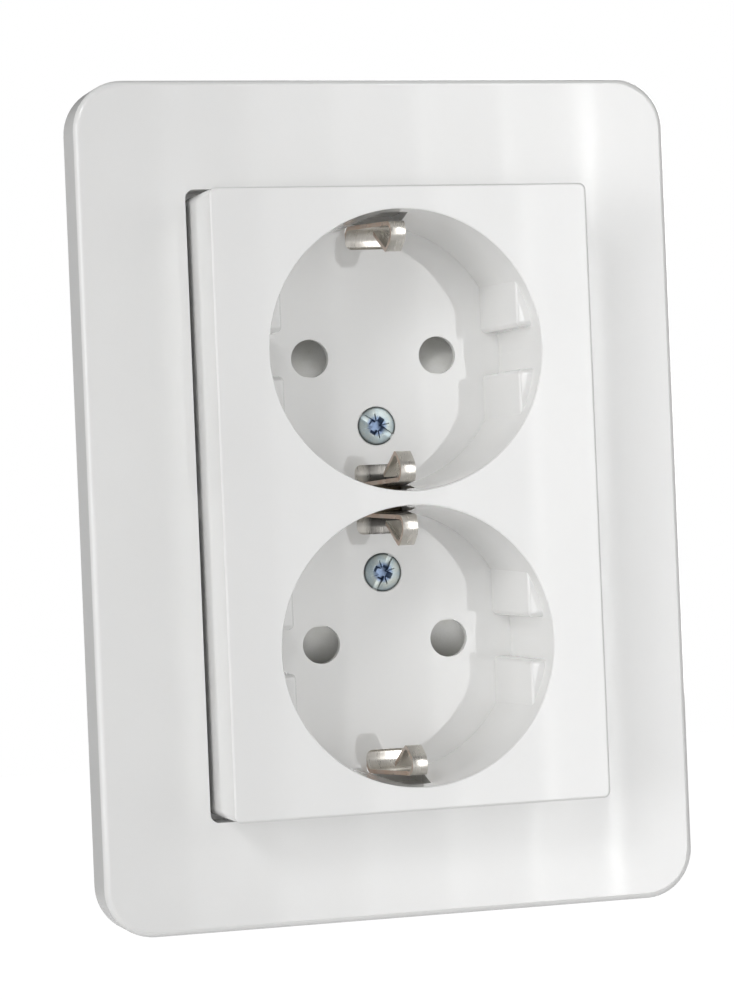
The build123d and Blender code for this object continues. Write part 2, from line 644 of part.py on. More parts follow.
def clip_path(axis_z, side, raised):
    """Points (Y, Z) of the inner face of a strap end and its clip, from the socket axis outwards."""
    strap_y = FLOOR_BACK_Y
    points = [(strap_y, axis_z)]
    if raised:
        points += [(strap_y, axis_z + side * JOGGLE_START)]
        strap_y -= JOGGLE_RISE
        points += [(strap_y, axis_z + side * JOGGLE_END)]
    points += [(strap_y, axis_z + side * CLIP_ROOT)]
    for depth, out in (CLIP_FRONT, CLIP_NOSE, CLIP_TIP, CLIP_END):
        points += [(PLATE_FRONT_Y + depth, axis_z + side * out)]
    return points


def bend_radii(raised):
    """Inner bend radii at the corners of a clip path."""
    joggle = [0.3, 0.9] if raised else []
    return joggle + [1.0, 0.5, 0.7, 0.45]


def earth_bracket(axis_z):
    """Strap behind one recess, with a clip folded up at each end."""
    with BuildPart() as bracket:
        for side in (1, -1):
            raised = side * axis_z > 0
            with BuildSketch(Plane.YZ):
                make_face(bent_sheet(clip_path(axis_z, side, raised), bend_radii(raised), -side * STRAP_T))
            extrude(amount=STRAP_HALF_W, both=True)
            clip_z = axis_z + side * (CLIP_TIP[1] + NOTCH_REACH) / 2
            clip_h = NOTCH_REACH - CLIP_TIP[1] + 2
            # The clip narrows evenly from its root to its front
            with BuildSketch(Plane.XY.offset(clip_z)):
                for edge in (1, -1):
                    with BuildLine():
                        Polyline(
                            (edge * CLIP_TIP_HALF_W, PLATE_FRONT_Y),
                            (edge * CLIP_TIP_HALF_W, PLATE_FRONT_Y + CLIP_FRONT[0]),
                            (edge * STRAP_HALF_W, CLIP_SHOULDER_Y),
                            (edge * 2 * STRAP_HALF_W, CLIP_SHOULDER_Y),
                            (edge * 2 * STRAP_HALF_W, PLATE_FRONT_Y),
                            close=True,
                        )
                    make_face()
            extrude(amount=clip_h / 2, both=True, mode=Mode.SUBTRACT)
            # The folded nose has the width of the front
            nose_top = CLIP_END[1] + 0.2
            nose_z = axis_z + side * (CLIP_TIP[1] - 1 + nose_top) / 2
            with BuildSketch(face_plane(PLATE_FRONT_Y + CLIP_END[0] + 1)):
                for edge in (1, -1):
                    with Locations((edge * (CLIP_TIP_HALF_W + STRAP_HALF_W), nose_z)):
                        Rectangle(2 * STRAP_HALF_W, nose_top - CLIP_TIP[1] + 1)
            extrude(amount=CLIP_END[0] + 1, mode=Mode.SUBTRACT)
        screw_z = axis_z - (SCREW_OFFSET if axis_z > 0 else -SCREW_OFFSET)
        with BuildSketch(face_plane(FLOOR_BACK_Y + STRAP_T)):
            with Locations((0, screw_z)):
                Circle(SCREW_SHANK_R + 0.3)
        extrude(amount=STRAP_T, mode=Mode.SUBTRACT)
    return bracket


upper_earth_bracket = earth_bracket(SOCKET_Z)
finish(upper_earth_bracket, "upper_earth_bracket")
lower_earth_bracket = earth_bracket(-SOCKET_Z)
finish(lower_earth_bracket, "lower_earth_bracket")


# Bar that joins both brackets, with the tab that the earth wires are clamped to
with BuildPart() as earth_bar:
    bar_front_y = FLOOR_BACK_Y + STRAP_T
    with BuildSketch(face_plane(bar_front_y + EARTH_BAR_T)):
        Rectangle(2 * STRAP_HALF_W, 2 * EARTH_BAR_HALF_L)
        with GridLocations(0, 2 * (SOCKET_Z - SCREW_OFFSET), 1, 2):
            Circle(SCREW_SHANK_R + 0.1, mode=Mode.SUBTRACT)
    extrude(amount=EARTH_BAR_T)
    with BuildSketch(Plane.XY):
        tab_start = (STRAP_HALF_W - 0.5, bar_front_y + BAR_T)
        tab_corner = (EARTH_TAB_X, bar_front_y + BAR_T)
        tab_end = (EARTH_TAB_X, CONTACT_END_Y)
        make_face(bent_sheet([tab_start, tab_corner, tab_end], [0.2], -BAR_T))
    extrude(amount=EARTH_TAB_HALF_W, both=True)
finish(earth_bar, "earth_bar")


# Threaded bushes under the earth bar, which the cover screws bite into
with BuildPart() as threaded_bushes:
    with BuildSketch(face_plane(BUSH_END_Y)):
        with GridLocations(0, 2 * (SOCKET_Z - SCREW_OFFSET), 1, 2):
            RegularPolygon(BUSH_R, 6)
            Circle(SCREW_SHANK_R, mode=Mode.SUBTRACT)
    extrude(amount=BUSH_END_Y - FLOOR_BACK_Y - STRAP_T - EARTH_BAR_T)
finish(threaded_bushes, "threaded_bushes")


def contact_bar(side):
    """Rail of one pole with a pair of spring leaves for each of its two pins."""
    with BuildPart() as bar:
        with BuildSketch(Plane.YZ.offset(side * RAIL_X)):
            with BuildLine():
                Polyline(
                    (JAW_FRONT_Y, RAIL_HALF_L),
                    (JAW_BACK_Y, RAIL_HALF_L),
                    (CONTACT_END_Y, SOCKET_Z - JAW_GAP),
                    (CONTACT_END_Y, JAW_GAP - SOCKET_Z),
                    (JAW_BACK_Y, -RAIL_HALF_L),
                    (JAW_FRONT_Y, -RAIL_HALF_L),
                    (JAW_FRONT_Y, JAW_GAP / 2 + BAR_T - SOCKET_Z),
                    (JAW_FRONT_Y + 2, JAW_GAP - SOCKET_Z),
                    (JAW_FRONT_Y + 2, SOCKET_Z - JAW_GAP),
                    (JAW_FRONT_Y, SOCKET_Z - JAW_GAP / 2 - BAR_T),
                    close=True,
                )
            make_face()
        extrude(amount=side * BAR_T)
        jaw_reach = RAIL_X - JAW_INNER_X + BAR_T / 2
        for socket in (1, -1):
            for leaf in (1, -1):
                leaf_z = socket * SOCKET_Z + leaf * JAW_GAP / 2
                with BuildSketch(Plane.YZ.offset(side * JAW_INNER_X)):
                    with BuildLine():
                        Polyline(
                            (JAW_BACK_Y, leaf_z),
                            (JAW_BACK_Y, leaf_z + leaf * BAR_T),
                            (JAW_FRONT_Y, leaf_z + leaf * BAR_T),
                            (JAW_MOUTH_Y, leaf_z + leaf * (BAR_T + JAW_FLARE)),
                            (JAW_MOUTH_Y, leaf_z + leaf * JAW_FLARE),
                            (JAW_FRONT_Y, leaf_z),
                            close=True,
                        )
                    make_face()
                extrude(amount=side * jaw_reach)
        # The flared mouth stays clear of the round chamber wall
        with BuildSketch(Plane.YZ.offset(side * (RAIL_X - 1.5))):
            with Locations((JAW_FRONT_Y - 2, SOCKET_Z), (JAW_FRONT_Y - 2, -SOCKET_Z)):
                Rectangle(4, 3 * JAW_GAP)
        extrude(amount=side * 5, mode=Mode.SUBTRACT)
    return bar


live_contact_bar = contact_bar(-1)
finish(live_contact_bar, "live_contact_bar")
neutral_contact_bar = contact_bar(1)
finish(neutral_contact_bar, "neutral_contact_bar")


def clamp_spring(terminal):
    """Folded leaf spring that grips two wires against a terminal's clamping face."""
    side = TERMINALS[terminal][1]
    with BuildPart() as spring:
        corners = [
            (terminal_x(terminal, CLAMP_SPAN), CLAMP_FRONT_Y),
            (terminal_x(terminal, CLAMP_SPAN), CLAMP_BACK_Y),
            (terminal_x(terminal, CLAMP_SPAN - CLAMP_FOLD), CLAMP_BACK_Y),
            (terminal_x(terminal, CLAMP_TIP[0]), CLAMP_TIP[1]),
        ]
        with BuildSketch(Plane.XY):
            make_face(bent_sheet(corners, [CLAMP_BEND_R, CLAMP_BEND_R], side * CLAMP_T))
        extrude(amount=CLAMP_HALF_H, both=True)
        # A slit parts the two tongues, so that each grips its own wire
        with BuildSketch(face_plane(BASE_BACK_Y)):
            with Locations((terminal_x(terminal, (CLAMP_SPAN - CLAMP_WEB) / 2), 0)):
                Rectangle(CLAMP_SPAN - CLAMP_WEB, CLAMP_SLIT)
        extrude(amount=BASE_BACK_Y - CHAMBER_START_Y, mode=Mode.SUBTRACT)
    return spring


def release_button(terminal):
    """Slider that pushes a clamp spring open from the back."""
    near_x = terminal_x(terminal, BUTTON_NEAR)
    far_x = terminal_x(terminal, BUTTON_FAR)
    bar_x = terminal_x(terminal, CROSSBAR_FAR)
    with BuildPart() as button:
        with BuildSketch(face_plane(COVER_BACK_Y + BUTTON_PROUD)):
            with Locations(((near_x + far_x) / 2, 0)):
                Rectangle(BUTTON_FAR - BUTTON_NEAR, 2 * BUTTON_HALF_H)
        extrude(amount=COVER_BACK_Y + BUTTON_PROUD - CROSSBAR_BACK_Y)
        fillet(button.faces().sort_by(Axis.Y)[-1].edges(), 0.3)
        with BuildSketch(face_plane(BASE_BACK_Y - 0.05)):
            with Locations(((near_x + far_x) / 2, 0)):
                Rectangle(BUTTON_FAR - BUTTON_NEAR, 2 * SHOULDER_HALF_H)
        extrude(amount=BASE_BACK_Y - 0.05 - SHOULDER_FRONT_Y)
        with BuildSketch(face_plane(CROSSBAR_BACK_Y)):
            with Locations(((near_x + bar_x) / 2, 0)):
                Rectangle(CROSSBAR_FAR - BUTTON_NEAR, 2 * CROSSBAR_HALF_H)
        extrude(amount=CROSSBAR_BACK_Y - CROSSBAR_FRONT_Y)
    return button


for terminal in TERMINALS:
    finish(clamp_spring(terminal), f"{terminal}_clamp_spring")
    finish(release_button(terminal), f"{terminal}_release_button")


def shutter(side):
    """Slider with two ramps that close the pin holes of one socket; side is +1 above, -1 below."""
    axis_z = side * SOCKET_Z
    with BuildPart() as slider:
        # Lobe section: a short land, then a ramp that falls away from the middle of the plate
        with BuildSketch(Plane.YZ):
            with BuildLine():
                Polyline(
                    (LOBE_FRONT_Y, axis_z - side * LOBE_HALF_H),
                    (LOBE_FRONT_Y, axis_z - side * (LOBE_HALF_H - LOBE_LAND)),
                    (LOBE_RAMP_END_Y, axis_z + side * LOBE_HALF_H),
                    (LOBE_BACK_Y, axis_z + side * LOBE_HALF_H),
                    (LOBE_BACK_Y, axis_z - side * LOBE_HALF_H),
                    close=True,
                )
            make_face()
        extrude(amount=PIN_X + LOBE_HALF_W, both=True)
        # Only the two lobes stay; a lower bridge joins them behind the earth strap
        with BuildSketch(face_plane(LOBE_BACK_Y)):
            with Locations((0, axis_z)):
                Rectangle(2 * (PIN_X - LOBE_HALF_W), 2 * LOBE_HALF_H + 1)
        extrude(amount=LOBE_BACK_Y - LOBE_FRONT_Y + 1, mode=Mode.SUBTRACT)
        with BuildSketch(face_plane(BRIDGE_BACK_Y)):
            with Locations((0, axis_z + side * (BRIDGE_LOW + LOBE_HALF_H) / 2)):
                Rectangle(2 * (PIN_X - LOBE_HALF_W), LOBE_HALF_H - BRIDGE_LOW)
        extrude(amount=BRIDGE_BACK_Y - BRIDGE_FRONT_Y)
        # Pin that centres the spring
        with BuildSketch(Plane.XY.offset(axis_z + side * BRIDGE_LOW)):
            with Locations((0, SPRING_Y)):
                Circle(SPRING_R - 2 * SPRING_WIRE_R)
        extrude(amount=-side * SPRING_PIN)
    return slider


def shutter_spring(side):
    """Small compression spring between a shutter's bridge and the housing."""
    rest_length = BOSS_REACH + BRIDGE_LOW
    low_z = min(side * (SOCKET_Z - BOSS_REACH), side * (SOCKET_Z + BRIDGE_LOW))
    coil_height = rest_length - 2 * SPRING_WIRE_R
    with BuildPart() as spring:
        with BuildLine():
            coil = Helix(
                pitch=coil_height / SPRING_TURNS, height=coil_height, radius=SPRING_R,
                center=(0, SPRING_Y, low_z + SPRING_WIRE_R),
            )
        with BuildSketch(Plane(origin=coil @ 0, z_dir=coil % 0)):
            RegularPolygon(SPRING_WIRE_R, 6)
        sweep(is_frenet=True)
    return spring


for side, place in ((1, "upper"), (-1, "lower")):
    finish(shutter(side), f"{place}_shutter")
    finish(shutter_spring(side), f"{place}_shutter_spring")
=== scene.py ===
from math import pi, radians, tan

import bpy
from mathutils import Matrix, Vector


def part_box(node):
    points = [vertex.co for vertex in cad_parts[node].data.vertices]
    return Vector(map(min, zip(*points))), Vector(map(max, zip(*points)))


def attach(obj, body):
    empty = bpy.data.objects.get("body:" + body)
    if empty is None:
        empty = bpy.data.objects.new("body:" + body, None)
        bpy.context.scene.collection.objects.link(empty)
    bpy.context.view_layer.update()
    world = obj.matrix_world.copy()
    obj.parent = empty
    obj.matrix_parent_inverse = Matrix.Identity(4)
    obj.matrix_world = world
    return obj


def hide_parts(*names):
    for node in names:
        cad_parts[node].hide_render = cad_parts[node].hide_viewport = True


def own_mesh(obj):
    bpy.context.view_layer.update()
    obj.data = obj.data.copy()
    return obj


bl_info = {
    "name": "Double wall socket",
    "version": (1, 0, 0),
    "blender": (4, 5, 0),
    "location": "View3D > Sidebar > Wall socket",
    "description": "Finishes a double flush wall socket and lights it as a packshot",
    "category": "Object",
}

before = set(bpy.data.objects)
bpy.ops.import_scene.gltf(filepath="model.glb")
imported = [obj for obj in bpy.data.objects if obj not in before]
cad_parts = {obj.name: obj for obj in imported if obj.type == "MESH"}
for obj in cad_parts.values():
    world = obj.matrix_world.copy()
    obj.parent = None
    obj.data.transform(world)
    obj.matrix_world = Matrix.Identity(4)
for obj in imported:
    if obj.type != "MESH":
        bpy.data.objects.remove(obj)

# Places read from the frame, in metres
PLATE_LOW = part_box("centre_plate")[0]
FRAME_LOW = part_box("frame")[0]
SCREWS_LOW, SCREWS_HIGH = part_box("cover_screws")
MM = 0.001

# Socket axes and screw axes above and below the middle, in millimetres
SOCKET_Z = 20.5
SCREW_Z = 10.55
SCREW_TURNS = (-35.0, 62.0)

# Cover screw: head rows as (depth below its top, radius), its slot and recess, and its rolled thread
HEAD_ROWS = (
    (0.56, 2.70), (0.49, 2.75), (0.42, 2.68), (0.33, 2.4), (0.23, 2.0),
    (0.148, 1.6), (0.083, 1.2), (0.037, 0.8), (0.009, 0.4), (0.0, 0.1),
)
SHANK_R = 1.2
COLLAR_R = 1.5
HEAD_SLOT = (6.0, 0.78, 0.62)
HEAD_RECESS = (3.0, 0.92, 1.2)
THREAD_R = 1.36
THREAD_PITCH = 0.5

# Where painted shade darkens the head, as distances from its axis, with the colours there: the cross recess, darkened
# and tinted blue, and a painted shadow in the gap round the rim
RECESS_SHADE_RADII = (1.15, 1.6)
RECESS_SHADE_BLUE = (0.13, 0.18, 0.28)
RIM_SHADOW_RADII = (2.45, 2.68)
RIM_SHADOW = (0.05, 0.06, 0.06)

# Earth straps: places are given as depth from the plate's front and distance from the socket axis
STRAP_T = 0.6
STRAP_HALF_W = 3.48
CLIP_HALF_W = 1.07
STRAP_DEPTH = 19.1
JOGGLE_RISE = 0.8
JOGGLE_OUT = (15.2, 15.8)
ROOT_OUT = 18.2
SHOULDER_DEPTH = 16.2
JOGGLE_RADII = [0.3, 0.5]
ROOT_RADII = [1.9, 0.0]
CLIP_RADII = [0.95, 0.95, 0.85, 0.0]
SCREW_HOLE_R = 1.8
OUTER_CLIP = ((2.8, 17.5), (2.8, 15.95), (5.5, 14.55), (11.5, 17.5))
MIDDLE_CLIP = ((2.7, 17.55), (2.7, 16.0), (4.9, 14.35), (11.2, 17.4))

# Where painted shade darkens the straps under the middle clips: depths, distances from the middle, places along X
SHADE_DEPTH = (14.5, 16.0)
SHADE_HEIGHT = (7.2, 8.0)
SHADE_X = (-2.3, -1.1)

# Lamps as (name, place from the middle of the plate's front, size, power), in metres and watts
LAMPS = (
    ("key_lamp", (-0.84, -1.00, 0.735), (0.375, 0.375), 3.7),
    ("left_lamp", (-2.00, -1.05, 0.10), (1.3, 1.3), 19.0),
    ("low_lamp", (-0.40, -1.10, -0.12), (0.6, 0.25), 0.8),
    ("right_lamp", (0.90, -0.90, 0.20), (0.8, 0.8), 2.8),
    ("rear_lamp", (0.80, 1.10, 0.35), (1.0, 1.0), 12.0),
)

# Upright panels as (place along X, width, power), reflected by the glossy faces and brighter towards the right
GLOSS_STRIPS = [(0.12 + 0.04 * step, 0.04, 0.1 + 0.155 * step) for step in range(6)] + [(0.43, 0.18, 4.2)]
GLOSS_AHEAD = 0.85
GLOSS_HEIGHT = 1.5


class SocketFinishes(bpy.types.PropertyGroup):
    """Colours of the socket's materials."""

    def colour(name, description, default):
        return bpy.props.FloatVectorProperty(
            name=name, description=description, subtype="COLOR", size=3, min=0.0, max=1.0, default=default
        )

    cover_white: colour("Cover white", "Glossy white of the frame and the centre plate", (0.96, 0.96, 0.95))
    shutter_grey: colour("Shutter grey", "Light grey of the shutters behind the pin holes", (0.97, 0.97, 0.93))
    insert_white: colour("Insert white", "Warm matt white of the insert housing and its rear cover", (0.62, 0.61, 0.57))
    button_grey: colour("Button grey", "Blue-grey of the release buttons", (0.20, 0.23, 0.27))
    zinc_blue: colour("Blue zinc", "Blue-passivated zinc plating of the screws", (0.33, 0.39, 0.41))
    zinc_straw: colour("Straw tint", "Faint straw tint that the passivation has in places", (0.40, 0.42, 0.39))
    sheet_zinc: colour("Galvanised sheet", "Zinc of the support plate", (0.52, 0.54, 0.55))
    nickel: colour("Nickel", "Nickel plating of the earth brackets", (0.74, 0.71, 0.66))
    copper: colour("Cut edge", "Bare copper alloy on the cut edges of the earth brackets", (0.60, 0.43, 0.33))
    brass: colour("Brass", "Stamped brass of the contacts", (0.75, 0.55, 0.26))
    # The earth bar's brass is darkened with painted shade, for where it lies deep between the straps
    shaded_brass: colour("Dark brass", "Tarnished brass of the earth bar between the straps", (0.16, 0.13, 0.09))
    spring: colour("Spring steel", "Stainless spring steel", (0.50, 0.50, 0.51))


class SocketStudio(bpy.types.PropertyGroup):
    """Camera, lamps and floor."""

    lens: bpy.props.FloatProperty(
        name="Lens", description="Focal length on a 36 mm long side", default=104.33, min=10.0
    )
    camera_place: bpy.props.FloatVectorProperty(
        name="Camera place", description="Camera, from the middle of the plate's front", size=3,
        subtype="TRANSLATION", unit="LENGTH", default=(-0.10962, -0.38504, 0.00002),
    )
    camera_turn: bpy.props.FloatVectorProperty(
        name="Camera turn", description="Pitch, roll and yaw of the camera's model", size=3,
        subtype="EULER", unit="ROTATION", default=(radians(0.01), radians(-2.365), radians(14.967)),
    )
    ambient: bpy.props.FloatProperty(
        name="Ambient", description="Strength of the light tent on matt surfaces", default=0.20, min=0.0
    )
    floor_drop: bpy.props.FloatProperty(
        name="Floor drop", description="Height of the socket above the floor", default=0.25, unit="LENGTH"
    )


def begin_piece():
    """Leave nothing selected, so that the next operator acts on its own piece alone."""
    if bpy.context.object and bpy.context.object.mode != "OBJECT":
        bpy.ops.object.mode_set(mode="OBJECT")
    bpy.ops.object.select_all(action="DESELECT")


def choose(piece):
    """Make a piece the only selected and active object."""
    begin_piece()
    piece.select_set(True)
    bpy.context.view_layer.objects.active = piece


def apply_modifiers(piece):
    """Apply every modifier of a piece in order."""
    choose(piece)
    for modifier in list(piece.modifiers):
        bpy.ops.object.modifier_apply(modifier=modifier.name)


def set_material(piece, material):
    """Give a whole piece one material."""
    piece.data.materials.clear()
    piece.data.materials.append(material)
    for polygon in piece.data.polygons:
        polygon.material_index = 0


def finish_piece(piece, name, body, slot, material, *nodes):
    """Name a finished piece, give it its material, tie it to its body, and hide the nodes it stands for."""
    piece.name = name
    piece.data.name = name
    set_material(piece, material)
    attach(piece, body)
    if nodes:
        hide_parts(*nodes)
    return piece


def select_points(piece, test):
    """Select only the points that pass a test, in edit mode."""
    bpy.ops.object.mode_set(mode="EDIT")
    bpy.ops.mesh.select_mode(type="VERT")
    bpy.ops.mesh.select_all(action="DESELECT")
    bpy.ops.object.mode_set(mode="OBJECT")
    for point in piece.data.vertices:
        point.select = test(point.co)
    bpy.ops.object.mode_set(mode="EDIT")


def cut(piece, cutter):
    """Cut one piece with another, which is then deleted."""
    modifier = piece.modifiers.new("cut", "BOOLEAN")
    modifier.operation = "DIFFERENCE"
    modifier.solver = "EXACT"
    modifier.object = cutter
    apply_modifiers(piece)
    choose(cutter)
    bpy.ops.object.delete()


def soften(piece, edge_round, smooth_angle=35.0, sharp_angle=40.0):
    """Round a piece's sharp edges and shade its curves smooth."""
    if edge_round:
        bevel = piece.modifiers.new("edge rounding", "BEVEL")
        bevel.width = edge_round
        bevel.segments = 2
        bevel.limit_method = "ANGLE"
        bevel.angle_limit = radians(sharp_angle)
        bevel.use_clamp_overlap = True
        apply_modifiers(piece)
    choose(piece)
    bpy.ops.object.shade_smooth_by_angle(angle=radians(smooth_angle))


def place_piece(piece, place, turn=0.0):
    """Turn a piece about Y, anticlockwise from the front, and move it; its own axes stay the scene's."""
    choose(piece)
    piece.rotation_euler = (0.0, radians(-turn), 0.0)
    piece.location = Vector(place) * MM
    bpy.ops.object.transform_apply(location=True, rotation=True)


def join_pieces(*pieces):
    """Join pieces into the first one."""
    choose(pieces[0])
    for piece in pieces[1:]:
        piece.select_set(True)
    bpy.ops.object.join()
    return pieces[0]


def turned_form(rows, segments=64):
    """A closed form turned about the Y axis, from rows of (place along Y, radius) in millimetres."""
    begin_piece()
    depth, radius = rows[0]
    bpy.ops.mesh.primitive_circle_add(
        vertices=segments, radius=radius * MM, fill_type="NGON",
        location=(0.0, depth * MM, 0.0), rotation=(radians(90), 0.0, 0.0),
    )
    piece = bpy.context.object
    bpy.ops.object.transform_apply(location=True, rotation=True)
    bpy.ops.object.mode_set(mode="EDIT")
    bpy.ops.mesh.select_all(action="SELECT")
    for (before, width), (after, target) in zip(rows, rows[1:]):
        bpy.ops.mesh.extrude_region_move(TRANSFORM_OT_translate={"value": (0.0, (after - before) * MM, 0.0)})
        bpy.ops.transform.resize(
            value=(target / width, 1.0, target / width), center_override=(0.0, after * MM, 0.0)
        )
    bpy.ops.mesh.select_all(action="SELECT")
    bpy.ops.mesh.normals_make_consistent(inside=False)
    bpy.ops.object.mode_set(mode="OBJECT")
    return piece


def wedge(length, width, top, foot, length_share=1.0, width_share=1.0, turn=0.0):
    """A bar along X from one place along Y to another, narrower at its foot, turned about Y."""
    begin_piece()
    bpy.ops.mesh.primitive_cube_add(size=1.0, location=(0.0, (top + foot) / 2 * MM, 0.0))
    bar = bpy.context.object
    bar.scale = (length * MM, abs(foot - top) * MM, width * MM)
    bpy.ops.object.transform_apply(location=True, scale=True)
    select_points(bar, lambda point: abs(point.y - foot * MM) < 0.001 * MM)
    bpy.ops.transform.resize(value=(length_share, 1.0, width_share), center_override=(0.0, foot * MM, 0.0))
    bpy.ops.object.mode_set(mode="OBJECT")
    place_piece(bar, (0.0, 0.0, 0.0), turn)
    return bar


def helix(section, axis, pitch, turns, steps):
    """Sweep an open section around an axis, with a pitch in millimetres."""
    screw = section.modifiers.new("helix", "SCREW")
    screw.axis = axis
    screw.angle = 2 * pi
    screw.screw_offset = pitch * MM
    screw.iterations = turns
    screw.steps = steps
    screw.render_steps = steps
    apply_modifiers(section)


def close_ends(piece, merge=0.0):
    """Merge a swept piece's doubled points, fill its open ends and turn its faces outwards."""
    choose(piece)
    bpy.ops.object.mode_set(mode="EDIT")
    bpy.ops.mesh.select_all(action="SELECT")
    if merge:
        bpy.ops.mesh.remove_doubles(threshold=merge)
    bpy.ops.mesh.fill_holes(sides=0)
    bpy.ops.mesh.select_all(action="SELECT")
    bpy.ops.mesh.normals_make_consistent(inside=False)
    bpy.ops.object.mode_set(mode="OBJECT")


def cross_recess(piece, top, length, width, depth):
    """Cut a tapered cross with 45-degree ticks into a head that faces the front."""
    for turn in (0.0, 90.0):
        cut(piece, wedge(length, width, top, top + depth, 0.5, 0.8, turn))
    for turn in (45.0, 135.0):
        cut(piece, wedge(length * 1.3, 0.24, top, top + 0.42, 0.9, 0.4, turn))


def cover_screw():
    """One raised countersunk screw on the Y axis: slot and cross recess in the head, rolled thread on the shank."""
    top = SCREWS_LOW.y / MM
    end = SCREWS_HIGH.y / MM
    rows = [(end, 0.85), (end - 0.45, SHANK_R), (top + 2.6, SHANK_R), (top + 2.3, COLLAR_R), (top + 1.7, COLLAR_R)]
    rows += [(top + depth, radius) for depth, radius in HEAD_ROWS]
    screw = turned_form(rows)
    length, width, depth = HEAD_SLOT
    cut(screw, wedge(length, width, top - 0.2, top + depth))
    cross_recess(screw, top - 0.05, *HEAD_RECESS)
    soften(screw, 0.03 * MM, 32.0)
    begin_piece()
    bpy.ops.mesh.primitive_circle_add(vertices=4, radius=0.16 * MM, rotation=(0.0, 0.0, radians(45)))
    thread = bpy.context.object
    thread.location = (THREAD_R * MM, (top + 2.2) * MM, 0.0)
    bpy.ops.object.transform_apply(location=True, rotation=True)
    select_points(thread, lambda point: point.x < THREAD_R * MM)
    bpy.ops.transform.resize(value=(1.0, 1.9, 1.0), center_override=(1.25 * MM, (top + 2.2) * MM, 0.0))
    bpy.ops.object.mode_set(mode="OBJECT")
    turns = int((end - top - 3.2) / THREAD_PITCH)
    helix(thread, "Y", THREAD_PITCH, turns, 24)
    close_ends(thread)
    soften(thread, 0.0)
    return join_pieces(screw, thread)


def folded_strap(stations, radii, thickness, segments=9):
    """A folded strip: an edge carried through stations of (half width, y, z), bent, then thickened outwards."""
    begin_piece()
    bpy.ops.mesh.primitive_plane_add(size=2.0)
    strap = bpy.context.object
    select_points(strap, lambda point: point.y > 0.0)
    bpy.ops.mesh.delete(type="VERT")
    bpy.ops.mesh.select_all(action="SELECT")
    half, y, z = stations[0]
    bpy.ops.transform.resize(value=(half * MM, 1.0, 1.0))
    bpy.ops.transform.translate(value=(0.0, 1.0 + y * MM, z * MM))
    for (half, y, z), (next_half, next_y, next_z) in zip(stations, stations[1:]):
        step = (0.0, (next_y - y) * MM, (next_z - z) * MM)
        bpy.ops.mesh.extrude_region_move(TRANSFORM_OT_translate={"value": step})
        bpy.ops.transform.resize(
            value=(next_half / half, 1.0, 1.0), center_override=(0.0, next_y * MM, next_z * MM)
        )
    bpy.ops.object.mode_set(mode="OBJECT")
    for before, station, after, radius in zip(stations, stations[1:], stations[2:], radii):
        if not radius:
            continue
        fold = (Vector(station[1:]) - Vector(before[1:])).angle(Vector(after[1:]) - Vector(station[1:]))
        spot = Vector((0.0, station[1] * MM, station[2] * MM))
        select_points(strap, lambda point: (Vector((0.0, *point.yz)) - spot).length < 0.001 * MM)
        bpy.ops.mesh.bevel(
            offset_type="OFFSET", offset=radius * tan(fold / 2) * MM, segments=segments,
            profile=0.5, affect="EDGES", clamp_overlap=False,
        )
        bpy.ops.object.mode_set(mode="OBJECT")
    solid = strap.modifiers.new("sheet", "SOLIDIFY")
    solid.thickness = abs(thickness) * MM
    solid.offset = 1.0 if strap.data.polygons[0].normal.z * thickness < 0 else -1.0
    solid.use_even_offset = True
    solid.use_quality_normals = True
    apply_modifiers(strap)
    return strap


def clip_stations(axis_z, side, form, joggled):
    """Stations and bend radii of one half of a strap, from its middle out to the end of its clip."""
    front = PLATE_LOW.y / MM
    y = front + STRAP_DEPTH
    stations = []
    radii = []
    if joggled:
        stations.append((STRAP_HALF_W, y, JOGGLE_OUT[0]))
        y -= JOGGLE_RISE
        stations.append((STRAP_HALF_W, y, JOGGLE_OUT[1]))
        radii += JOGGLE_RADII
    nose_depth, nose_out = form[0]
    shoulder = front + SHOULDER_DEPTH
    share = (shoulder - y) / (front + nose_depth - y)
    stations.append((STRAP_HALF_W, y, ROOT_OUT))
    stations.append((STRAP_HALF_W, shoulder, ROOT_OUT + (nose_out - ROOT_OUT) * share))
    radii += ROOT_RADII
    for depth, out in form:
        stations.append((CLIP_HALF_W, front + depth, out))
    radii += CLIP_RADII
    return [(half, place, axis_z + side * out) for half, place, out in stations], radii


def earth_strap(axis_z):
    """Strap behind one recess with a clip folded up at each end, and the hole for the cover screw."""
    outer_side = 1 if axis_z > 0 else -1
    outer, outer_radii = clip_stations(axis_z, outer_side, OUTER_CLIP, True)
    middle, middle_radii = clip_stations(axis_z, -outer_side, MIDDLE_CLIP, False)
    stations = outer[::-1] + middle
    radii = (outer_radii[::-1] + middle_radii)[1:]
    strap = folded_strap(stations, radii, STRAP_T * outer_side)
    hole = turned_form([(-1.0, SCREW_HOLE_R), (1.5, SCREW_HOLE_R)], 48)
    place_piece(hole, (0.0, 0.0, outer_side * SCREW_Z))
    cut(strap, hole)
    soften(strap, 0.05 * MM, 38.0, 50.0)
    return strap


def coil_spring(axis_y, low, high, radius=1.2, wire=0.15, active=4):
    """Compression spring along Z between two heights, with a closed turn at each end."""
    coils = []
    pitches = (2.05 * wire, (high - low - 2 * wire - 4.1 * wire) / active, 2.05 * wire)
    start = low + wire
    for pitch, turns in zip(pitches, (1, active, 1)):
        begin_piece()
        bpy.ops.mesh.primitive_circle_add(
            vertices=12, radius=wire * MM, rotation=(radians(90), 0.0, 0.0),
            location=(radius * MM, 0.0, start * MM),
        )
        section = bpy.context.object
        bpy.ops.object.transform_apply(location=True, rotation=True)
        helix(section, "Z", pitch, turns, 28)
        coils.append(section)
        start += pitch * turns
    spring = join_pieces(*coils)
    close_ends(spring, 0.002 * MM)
    place_piece(spring, (0.0, axis_y, 0.0))
    soften(spring, 0.0, 60.0)
    return spring


